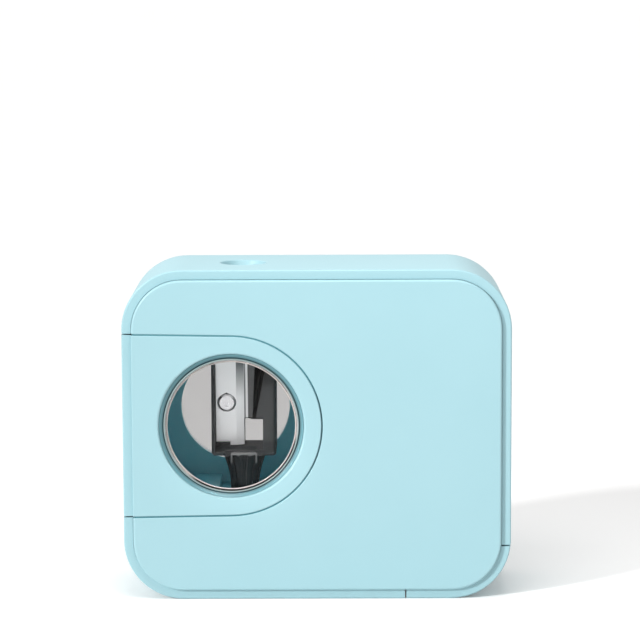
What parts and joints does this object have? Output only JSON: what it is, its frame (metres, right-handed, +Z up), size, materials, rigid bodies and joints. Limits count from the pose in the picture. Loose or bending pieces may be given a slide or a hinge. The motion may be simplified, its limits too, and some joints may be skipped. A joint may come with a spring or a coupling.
{
  "type": "battery pencil sharpener",
  "caption": "Rounded-box battery pencil sharpener: pencil hole on top, geared motor cutter behind a round window in the pull-out shavings drawer, corner battery door.",
  "frame": {"origin": "middle of the underside of the box, on the surface it stands on", "axes": "+X to the right as seen from the front, +Y to the back, +Z up; the front face looks along -Y"},
  "size_m": [0.084, 0.032, 0.072],
  "materials": {
    "case_plastic": "moulded pale blue plastic with a satin gloss",
    "window_plastic": "clear plastic with a light smoke tint",
    "bezel_plastic": "smoked grey-blue plastic with a soft gloss",
    "cutter_plastic": "black moulded plastic",
    "blade_steel": "ground hardened steel",
    "inner_plastic": "unpolished moulded plastic",
    "gear_plastic": "natural acetal",
    "bright_steel": "plated steel",
    "bearing_brass": "turned brass",
    "motor_plastic": "black moulded plastic",
    "switch_plastic": "white moulded plastic",
    "motor_ferrite": "sintered ferrite",
    "rotor_steel": "steel laminations wound with copper",
    "cell_label": "plain printed sleeve"
  },
  "bodies": {
    "case": {"case_body": "case_plastic", "front_panel": "case_plastic", "case_screws": "bright_steel", "pencil_guide": "inner_plastic", "chassis": "inner_plastic", "gearbox_base": "inner_plastic", "gearbox_cover": "inner_plastic", "gearbox_screws": "bright_steel", "spindle_bush": "bearing_brass", "idler_axle": "bright_steel", "motor_can": "bright_steel", "motor_end_cap": "motor_plastic", "motor_magnets": "motor_ferrite", "motor_terminals": "bearing_brass", "switch_body": "motor_plastic", "battery_front": "cell_label", "battery_rear": "cell_label", "flat_contact": "bright_steel", "spring_contact": "bright_steel", "battery_spring": "bright_steel"},
    "drawer": {"drawer": "case_plastic", "window_bezel": "bezel_plastic", "front_window": "window_plastic", "rear_window": "window_plastic"},
    "battery_door": {"battery_door": "case_plastic", "door_contact": "bright_steel"},
    "output_gear": {"output_gear": "gear_plastic", "return_spring": "bright_steel"},
    "cutter": {"cutter_holder": "cutter_plastic", "cutter_blade": "blade_steel", "blade_screw": "blade_steel", "drive_coupling": "cutter_plastic", "spindle": "bright_steel", "retaining_clip": "bright_steel"},
    "idler": {"idler_gear": "gear_plastic"},
    "rotor": {"motor_rotor": "rotor_steel", "motor_shaft": "bright_steel", "motor_pinion": "bearing_brass"},
    "switch_button": {"switch_button": "switch_plastic"}
  },
  "joints": [
    {"name": "drawer_slide", "type": "slide", "parent": "case", "child": "drawer", "axis": [-1, 0, 0], "range_m": [0, 0.045]},
    {"name": "door_slide", "type": "slide", "parent": "case", "child": "battery_door", "axis": [1, 0, 0], "range_m": [0, 0.026]},
    {"name": "motor_spin", "type": "hinge", "parent": "case", "child": "rotor", "pos_m": [0.0109, 0, 0.03], "axis": [0, 0, 1], "continuous": true},
    {"name": "idler_spin", "type": "hinge", "parent": "case", "child": "idler", "pos_m": [-0.0016, 0, 0.0105], "axis": [0, 0, 1], "continuous": true},
    {"name": "cutter_spin", "type": "hinge", "parent": "case", "child": "output_gear", "pos_m": [-0.0161, 0, 0.0095], "axis": [0, 0, 1], "continuous": true},
    {"name": "cutter_plunge", "type": "slide", "parent": "output_gear", "child": "cutter", "axis": [0, 0, -1], "range_m": [0, 0.0008], "stiffness_N_per_m": 600, "springref_m": -0.002, "deforming": ["return_spring"]},
    {"name": "switch_press", "type": "slide", "parent": "case", "child": "switch_button", "axis": [0, 0, -1], "range_m": [0, 0.0008]}
  ],
  "couplings": [
    {"joint": "idler_spin", "follows": "motor_spin", "ratio": -0.25},
    {"joint": "cutter_spin", "follows": "motor_spin", "ratio": 0.065217},
    {"joint": "switch_press", "follows": "cutter_plunge", "ratio": 1}
  ]
}
